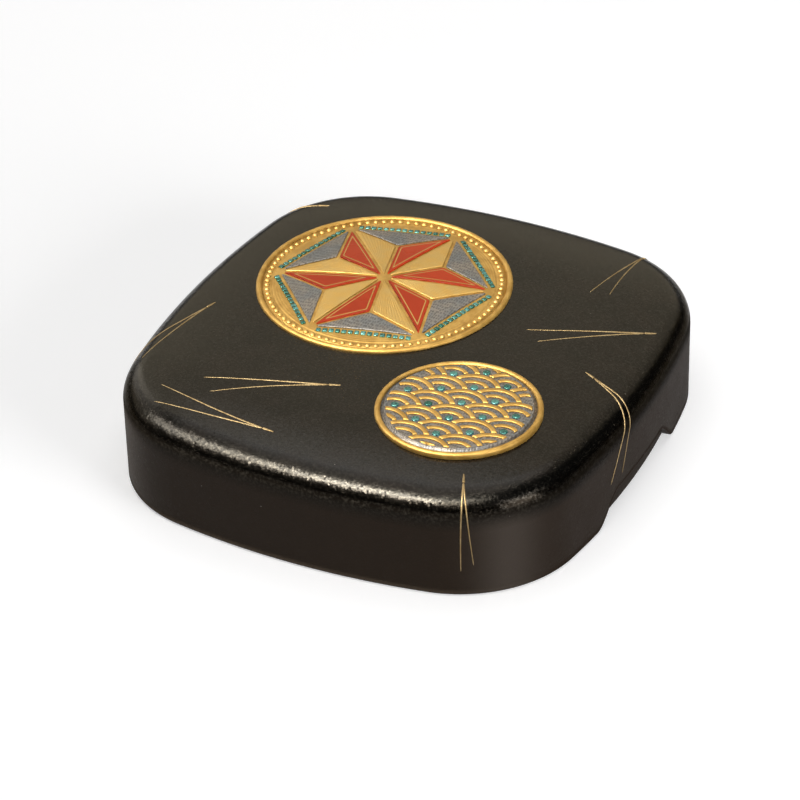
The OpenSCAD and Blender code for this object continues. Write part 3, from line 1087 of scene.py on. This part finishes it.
def fan_limits(centre, radii):
    """Spans of angle from straight up in which circles of these radii show: the scales in front hide what is
    past half_fan, and the field's edge hides a wedge towards the edge. Both come from the law of cosines."""
    hidden = np.arccos((radii**2 + front_gap**2 - (scale_r + band_gap) ** 2) / (2 * radii * front_gap))
    half_fan = pi / 2 - front_turn - hidden
    out = max(np.linalg.norm(centre), 1e-6)
    room = ((wave_field_r - band_gap) ** 2 - out**2 - radii**2) / (2 * radii * out)
    wedge = np.arccos(np.clip(room, -1, 1))
    lean = (atan2(centre[1], centre[0]) - pi / 2 + pi) % (2 * pi) - pi
    near = abs(lean)
    flip = 1 if lean >= 0 else -1
    low = np.maximum(-half_fan, near + wedge - 2 * pi)
    spans = [(low, np.minimum(half_fan, near - wedge)), (np.maximum(-half_fan, near + wedge), half_fan)]
    if np.all(room >= 1):
        spans = [(-half_fan, half_fan)]
    return [(flip * a, flip * b) for a, b in spans if np.mean(b - a) > least_fan]


def band(centre, outer, width):
    """Shells of one band of one scale: loops across the band, swept from one limit to the other, and lower
    at both ends."""
    radii = outer - width + width * band_share
    share = np.linspace(0, 1, band_steps)[:, None]
    ends = np.clip(np.minimum(share, 1 - share) / band_end, 0, 1)
    lower = band_end_h + (1 - band_end_h) * np.sqrt(ends)
    rise = np.where(band_rise > 0, band_rise * lower, band_rise)
    made = []
    for low, high in fan_limits(centre, radii):
        swept = high - low
        swept = np.where(swept * np.sign(np.mean(swept)) > 0, swept, 0)
        angle = pi / 2 + low + swept * share
        made.append(placed(wave_middle[:2] + centre, *polar(radii, angle), wave_field_z + rise))
    return made


bands = [
    shape
    for centre in centres
    for outer, width in ((scale_r, outer_band_w), (inner_band_r, inner_band_w))
    for shape in band(centre, outer, width)
]
piece("wave_gold_bands", np.stack(bands), gold, "lid", "gold", ["wave_bands"])

# %% Shell dots
dot_r = 0.62
dot_lift = 0.93
dots = centres + [0, dot_lift]
dots = dots[np.linalg.norm(dots, axis=1) < wave_field_r - band_gap - dot_r][:, None, None, :]
dot_scale = np.array([1.0, 1.0, 0.93, 0.8, 0.5])[None, :, None]
dot_rise = np.array([-0.05, 0.12, 0.185, 0.215, 0.235])[None, :, None]
x, y = polar(dot_r * dot_scale, ring_turn)
points = placed(wave_middle, dots[..., 0] + x, dots[..., 1] + y, wave_field_z + dot_rise)
tone = tones.uniform(0, 1, (len(dots), 1, 1))
piece("wave_shell_inlay", points, shell, "lid", "shell", ["wave_shell_dots"], tone=tone)

# %% [markdown]
# ## Scattered pine needles
# Fine gold lines lie on the lacquer, in pairs joined at a short sheath, and some run over the shoulder
# and down the side. A texture could draw them, but a line of powder stands up and catches the light, so
# each is a thin shell. They are drawn on a flat sheet that is then laid over the lid like paper: a point
# keeps its facing, and its distance past the flat of the top becomes the run along the section.

# %% Needles laid over the lid
def lay(x, y):
    """Points and normals on the lid's skin for points of a flat sheet laid over it."""
    u, v = np.abs(x), np.abs(y)
    on_side = np.arctan2(v, u - right_x) < right_ray
    on_front = np.arctan2(v - back_y, u) > back_ray
    centre_x, centre_y, r = arc(on_side, on_front)
    distance = crown_w - (r - np.hypot(u - centre_x, v - centre_y))
    turn = np.arctan2((v - centre_y) * np.sign(y), (u - centre_x) * np.sign(x))
    inset, height, tilt = section(np.maximum(distance, 0))
    edge_x, edge_y = plan(turn, inset)
    over = distance > 0
    skin = np.stack([edge_x, edge_y, height], -1)
    flat = np.stack([x, y, np.full_like(x, lid_z)], -1)
    tilt = np.where(over, tilt, 0)
    normals = np.stack([np.cos(turn) * np.sin(tilt), np.sin(turn) * np.sin(tilt), np.cos(tilt)], -1)
    return np.where(over[..., None], skin, flat), normals


needle_steps = 46
needle_arch = 7
needle_w = 0.3
partner_w = 0.28
partner_share = 0.93
bend_apart = 0.03
sheath_w = 0.46
sheath_l = 1.8
thinning = 0.55
tip_share = 0.02
tip_least = 0.15
needle_h = 0.75
needle_sink = -0.35
spread = radians(8)
needle_round = np.linspace(0, pi, needle_arch)
needle_share = np.linspace(0, 1, needle_steps)


def needle(x, y, heading, length, bend, width):
    """One shell along a parabola from (x, y), with a half-round section that thins to its tip."""
    s = needle_share * length
    c, n = cos(heading), sin(heading)
    sag = bend * needle_share**2 * length
    centre, normal = lay(x + s * c - sag * n, y + s * n + sag * c)
    forward = np.gradient(centre, axis=0)
    sideways = np.cross(normal, forward)
    sideways /= np.linalg.norm(sideways, axis=1, keepdims=True)
    to_end = np.minimum(needle_share, 1 - needle_share)
    taper = (1 - thinning * needle_share) * np.clip(to_end / tip_share, tip_least, 1) ** 0.5
    half = (width / 2 * taper)[:, None, None]
    arch = np.concatenate([np.cos(needle_round), [-1, 1]])[None, :, None]
    level = np.concatenate([np.sin(needle_round) * needle_h, [needle_sink, needle_sink]])[None, :, None]
    return centre[:, None] + half * (arch * sideways[:, None] + level * normal[:, None])


# Each pair: place of its sheath, heading in degrees, length, and bend
pairs = [
    (-4.0, -19.5, 200, 19, 0.05),
    (-8.0, -33.0, 176, 20, -0.05),
    (-31.5, -7.0, 251, 17, 0.05),
    (33.0, 14.0, 214, 18, -0.06),
    (24.0, 35.0, 262, 15, 0.05),
    (31.0, -1.0, -24, 19, -0.06),
    (24.5, -33.0, -66, 15, 0.08),
    (-30.0, 28.0, 196, 13, 0.06),
]
needles = []
for x, y, heading, length, bend in pairs:
    heading = radians(heading)
    needles += [
        needle(x, y, heading - spread / 2, length, bend - bend_apart, needle_w),
        needle(x, y, heading + spread / 2, length * partner_share, bend + bend_apart, partner_w),
        needle(x, y, heading + pi, sheath_l, 0.0, sheath_w),
    ]
piece("pine_needles", np.stack(needles), line_gold, "lid", "gold")

# %% [markdown]
# ## Floor and light
# The floor is a pale sheet that turns grey far from the box, a painted shade for light that falls off.
# To the camera and in reflections it also glows a little, so that it reads as white paper and still
# keeps the shadow. Two softboxes light the box, a broad one above and a small one on the right. Polished
# lacquer shows mostly what it mirrors, so cards that only reflections see give the top its warm sheen, the
# front shoulder its bright line and the corners their small lights. A picture of a studio could be
# mirrored instead, but cards can be moved one by one.

# %% Floor
floor_half = 3.0
sheet_near = 0.14
sheet_far = 0.3
sheet_middle = (-0.02, 0.04, 0)
paper_white = (0.74, 0.75, 0.77)
# Painted shade: the floor fades to this grey away from the box
paper_far_shade = (0.3, 0.3, 0.31)
paper_glow = 0.43
sheet_mesh = bpy.data.meshes.new("floor")
sheet_mesh.from_pydata([(floor_half * x, floor_half * y, 0) for x, y in corner_signs], [], [(0, 1, 2, 3)])
floor = new_object("floor", sheet_mesh)
floor.location = sheet_middle
paper = bpy.data.materials.new("paper")
paper.use_nodes = True
tree = paper.node_tree
tree.nodes.remove(tree.nodes["Principled BSDF"])
rays = tree.nodes.new("ShaderNodeLightPath").outputs
seen = calc("MAXIMUM", rays["Is Camera Ray"], rays["Is Glossy Ray"])
seen = calc("MAXIMUM", seen, rays["Is Transmission Ray"])
spot = add(tree, "TexCoord", out="Object")
gone = add(tree, "VectorMath", {"operation": "LENGTH"}, out="Value", Vector=spot)
near = between(gone, sheet_near, sheet_far, 1.0, 0.0)
matt = add(tree, "BsdfDiffuse", Color=layers(paper_far_shade, (near, paper_white)))
strength = times(times(seen, near), paper_glow)
glow = add(tree, "Emission", Color=white, Strength=strength)
both = tree.nodes.new("ShaderNodeAddShader")
fill(both.inputs[0], matt)
fill(both.inputs[1], glow)
fill(tree.nodes["Material Output"].inputs["Surface"], both.outputs[0])
sheet_mesh.materials.append(paper)
print("floor half side, m:", floor_half)

# %% Lights
sky_white = (0.98, 0.99, 1.0)
sky_strength = 0.13


def softbox(name, direction, distance, width, depth, radiance, tint):
    """An area lamp that faces the box: its power is radiance x pi x area. Lengths are in metres."""
    lamp = bpy.data.lights.new(name, "AREA")
    lamp.shape = "RECTANGLE"
    lamp.size = width
    lamp.size_y = depth
    lamp.energy = radiance * pi * width * depth
    lamp.color = tint
    item = new_object(name, lamp)
    place = Vector(direction).normalized() * distance
    item.matrix_world = Matrix.Translation(place) @ place.to_track_quat("Z", "Y").to_matrix().to_4x4()
    return item


# Each lamp: name, direction from the box, distance, width, depth, radiance, and tint
softbox("sky", (-0.08, 0.0, 1.0), 1.0, 1.25, 1.0, 1.7, (1.0, 0.97, 0.93))
softbox("side", (0.93, -0.28, 0.24), 0.8, 0.38, 0.38, 15.0, (1.0, 0.98, 0.96))
gloss_cards = [
    softbox("sky_card", (-0.08, 0.0, 1.0), 0.98, 1.5, 1.1, 2.2, (1.0, 0.96, 0.9)),
    softbox("hot_core", (-0.18, -0.725, 0.67), 0.79, 0.34, 0.16, 95.0, (1.0, 0.96, 0.88)),
    softbox("hot_wide", (-0.12, -0.7, 0.7), 0.8, 0.85, 0.3, 24.0, (1.0, 0.94, 0.82)),
    softbox("hot_left", (-0.66, -0.43, 0.61), 0.8, 0.55, 0.3, 18.0, (1.0, 0.96, 0.9)),
    softbox("hot_right", (0.37, -0.53, 0.76), 0.8, 0.3, 0.2, 13.0, (1.0, 0.95, 0.86)),
    softbox("back_card", (-0.2, 0.8, 0.55), 1.1, 1.9, 0.8, 1.2, (1.0, 0.87, 0.61)),
    softbox("left_card", (-0.87, 0.1, 0.45), 1.0, 1.1, 0.75, 2.2, (1.0, 0.92, 0.8)),
]
for card in gloss_cards:
    card.visible_diffuse = False
world = bpy.data.worlds.new("studio")
scene.world = world
world.use_nodes = True
sky = world.node_tree.nodes["Background"].inputs
fill(sky["Color"], sky_white)
fill(sky["Strength"], sky_strength)
scene.view_settings.view_transform = "Standard"
